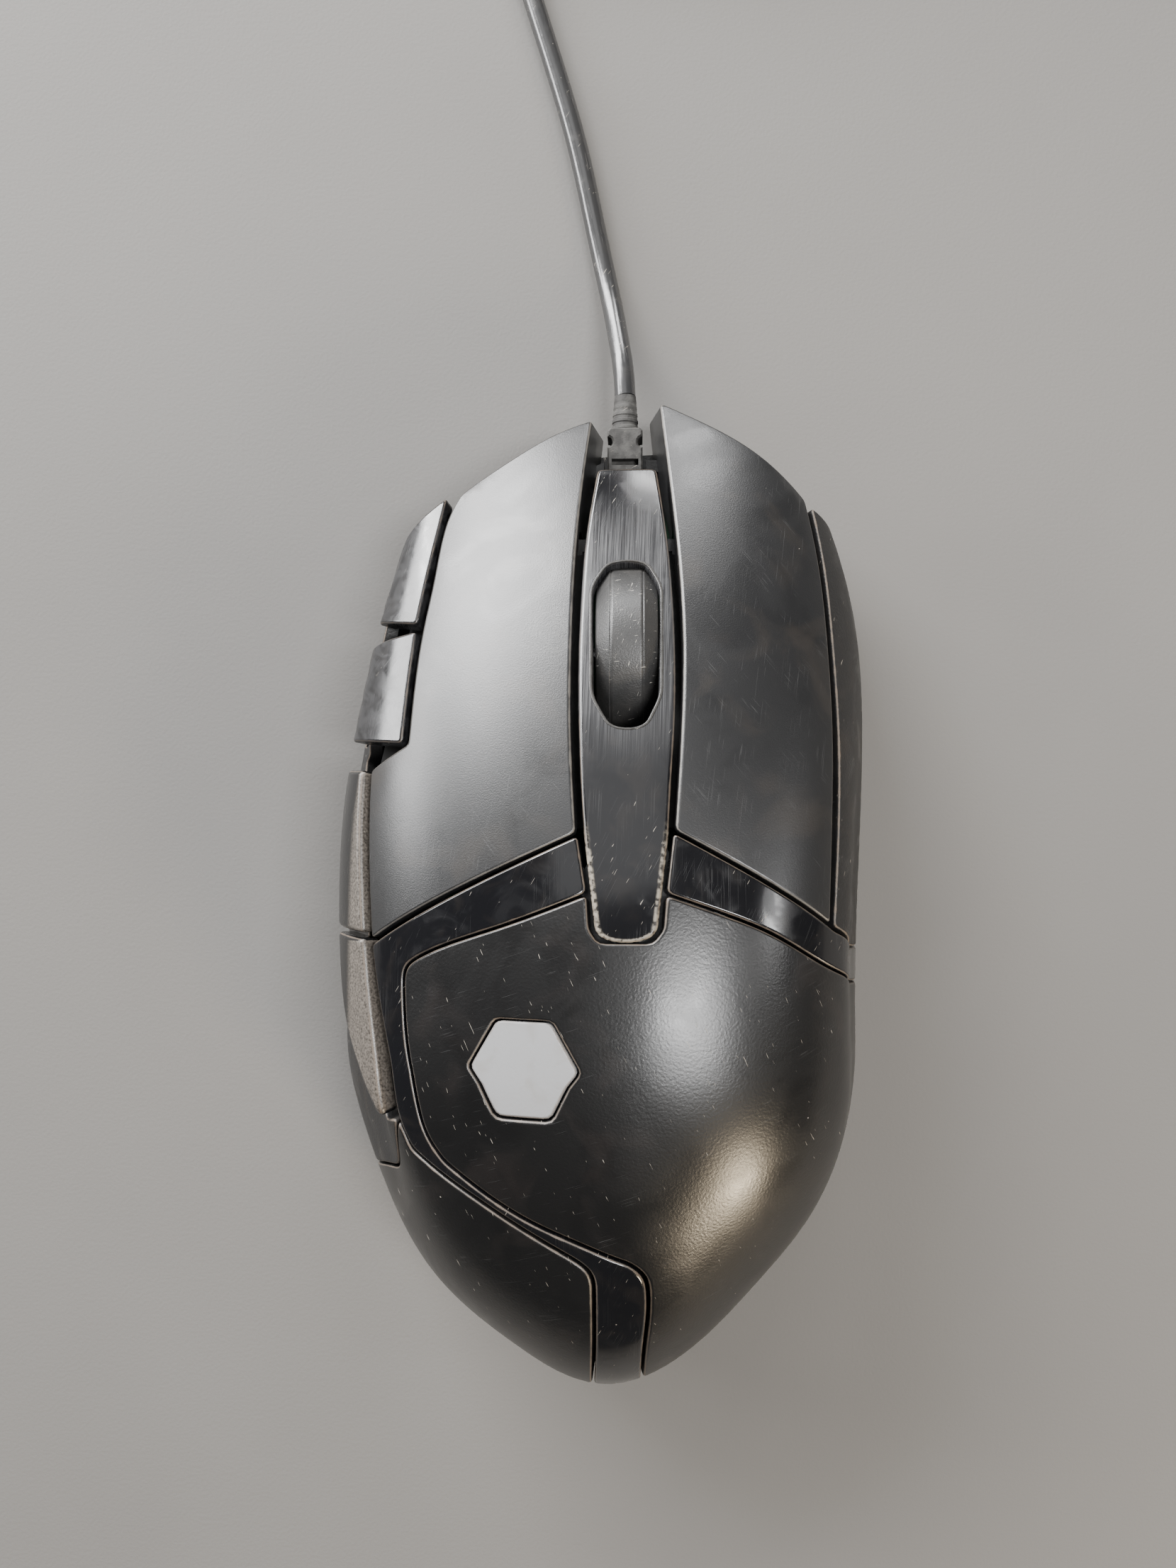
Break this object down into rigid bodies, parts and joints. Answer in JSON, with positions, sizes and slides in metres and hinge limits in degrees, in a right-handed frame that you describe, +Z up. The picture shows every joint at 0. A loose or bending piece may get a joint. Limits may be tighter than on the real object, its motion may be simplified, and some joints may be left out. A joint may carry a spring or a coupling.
{
  "type": "computer mouse",
  "caption": "Wired ergonomic computer mouse with split main buttons, side and index buttons, a clickable scroll wheel, a thumb rest and a coiled USB cable.",
  "frame": {"origin": "bottom centre of the mouse body on the desk, without the cable", "axes": "+Y towards the cable end, +X to the right-hand button's side, +Z up from the desk"},
  "size_m": [0.0874, 0.2771, 0.041],
  "materials": {
    "matte_black": "fine-textured matt black plastic, polished where fingers rest",
    "gloss_black": "piano black plastic with fine scratches",
    "satin_black": "satin black plastic with a fine grain",
    "grip_black": "textured black grip plastic",
    "rubber_black": "soft matt black rubber",
    "window_grey": "milky pale grey light window",
    "clear_plastic": "clear moulded plastic",
    "board_green": "green solder mask",
    "chip_black": "moulded component body",
    "switch_white": "white nylon",
    "steel": "plated steel",
    "glide_grey": "smooth low-friction film"
  },
  "bodies": {
    "root": {"base_shell": "satin_black", "screw_front_left": "steel", "screw_front_right": "steel", "screw_rear_left": "steel", "screw_rear_right": "steel", "glide_foot_front_left": "glide_grey", "glide_foot_front_right": "glide_grey", "glide_foot_rear_left": "glide_grey", "glide_foot_rear_right": "glide_grey", "spine_cover": "gloss_black", "trim_left": "gloss_black", "trim_right": "gloss_black", "palm_shell": "satin_black", "palm_light_window": "window_grey", "left_rear_panel": "satin_black", "thumb_rest": "grip_black", "right_side_panel": "grip_black", "top_frame": "satin_black", "main_board": "board_green", "side_board": "board_green", "controller_chip": "chip_black", "sensor_chip": "chip_black", "sensor_lens": "clear_plastic", "cable_connector": "switch_white", "palm_led": "clear_plastic", "light_pipe": "clear_plastic", "left_switch": "chip_black", "right_switch": "chip_black", "wheel_switch": "chip_black", "index_switch_front": "chip_black", "index_switch_rear": "chip_black", "tip_switch": "chip_black", "thumb_switch_front": "chip_black", "thumb_switch_rear": "chip_black", "wheel_encoder": "chip_black", "wheel_spring": "steel", "strain_relief": "rubber_black", "cable_run": "rubber_black", "cable_tail": "rubber_black", "cable_coil": "rubber_black", "cable_tie": "grip_black", "usb_plug_body": "rubber_black", "usb_plug_shell": "steel", "usb_contact_block": "switch_white"},
    "left_button": {"left_button": "matte_black"},
    "right_button": {"right_button": "matte_black"},
    "left_plunger": {"left_switch_plunger": "switch_white"},
    "right_plunger": {"right_switch_plunger": "switch_white"},
    "wheel_carriage": {"wheel_carriage": "matte_black"},
    "wheel": {"wheel_tyre": "rubber_black", "wheel_hub": "matte_black", "wheel_axle": "steel"},
    "wheel_plunger": {"wheel_switch_plunger": "switch_white"},
    "index_front": {"index_button_front": "gloss_black"},
    "index_rear": {"index_button_rear": "gloss_black"},
    "thumb_front": {"thumb_button_front": "gloss_black"},
    "thumb_rear": {"thumb_button_rear": "gloss_black"},
    "thumb_tip": {"thumb_tip_button": "satin_black"}
  },
  "joints": [
    {"name": "left_button_press", "type": "hinge", "parent": "root", "child": "left_button", "pos_m": [-0.0142, -0.0005, 0.034], "axis": [-1, 0, 0], "range_deg": [0, 0.8], "stiffness_Nm_per_rad": 1.5, "springref_deg": -0.69},
    {"name": "right_button_press", "type": "hinge", "parent": "root", "child": "right_button", "pos_m": [0.0198, -0.0005, 0.034], "axis": [-1, 0, 0], "range_deg": [0, 0.8], "stiffness_Nm_per_rad": 1.5, "springref_deg": -0.69},
    {"name": "left_plunger_travel", "type": "slide", "parent": "root", "child": "left_plunger", "axis": [0, 0, -1], "range_m": [0, 0.0007]},
    {"name": "right_plunger_travel", "type": "slide", "parent": "root", "child": "right_plunger", "axis": [0, 0, -1], "range_m": [0, 0.0007]},
    {"name": "wheel_click", "type": "slide", "parent": "root", "child": "wheel_carriage", "axis": [0, 0, -1], "range_m": [0, 0.0006], "stiffness_N_per_m": 1500, "springref_m": -0.0006, "deforming": ["wheel_spring"]},
    {"name": "wheel_spin", "type": "hinge", "parent": "wheel_carriage", "child": "wheel", "pos_m": [0.0036, 0.0321, 0.0184], "axis": [1, 0, 0], "continuous": true},
    {"name": "wheel_plunger_travel", "type": "slide", "parent": "root", "child": "wheel_plunger", "axis": [0, 0, -1], "range_m": [0, 0.0006]},
    {"name": "index_front_press", "type": "slide", "parent": "root", "child": "index_front", "axis": [0.6598, -0.05, -0.7498], "range_m": [0, 0.0006], "stiffness_N_per_m": 1000, "springref_m": -0.0008},
    {"name": "index_rear_press", "type": "slide", "parent": "root", "child": "index_rear", "axis": [0.7217, -0.0301, -0.6916], "range_m": [0, 0.0006], "stiffness_N_per_m": 1000, "springref_m": -0.0008},
    {"name": "thumb_front_press", "type": "slide", "parent": "root", "child": "thumb_front", "axis": [0.8601, 0, -0.5101], "range_m": [0, 0.0006], "stiffness_N_per_m": 1000, "springref_m": -0.0008},
    {"name": "thumb_rear_press", "type": "slide", "parent": "root", "child": "thumb_rear", "axis": [0.8, 0, -0.6], "range_m": [0, 0.0006], "stiffness_N_per_m": 1000, "springref_m": -0.0008},
    {"name": "thumb_tip_press", "type": "slide", "parent": "root", "child": "thumb_tip", "axis": [1, 0, 0], "range_m": [0, 0.0006], "stiffness_N_per_m": 1000, "springref_m": -0.0008}
  ],
  "couplings": [
    {"joint": "left_plunger_travel", "follows": "left_button_press", "m_per_rad": 0.047},
    {"joint": "right_plunger_travel", "follows": "right_button_press", "m_per_rad": 0.047},
    {"joint": "wheel_plunger_travel", "follows": "wheel_click", "ratio": 1}
  ]
}
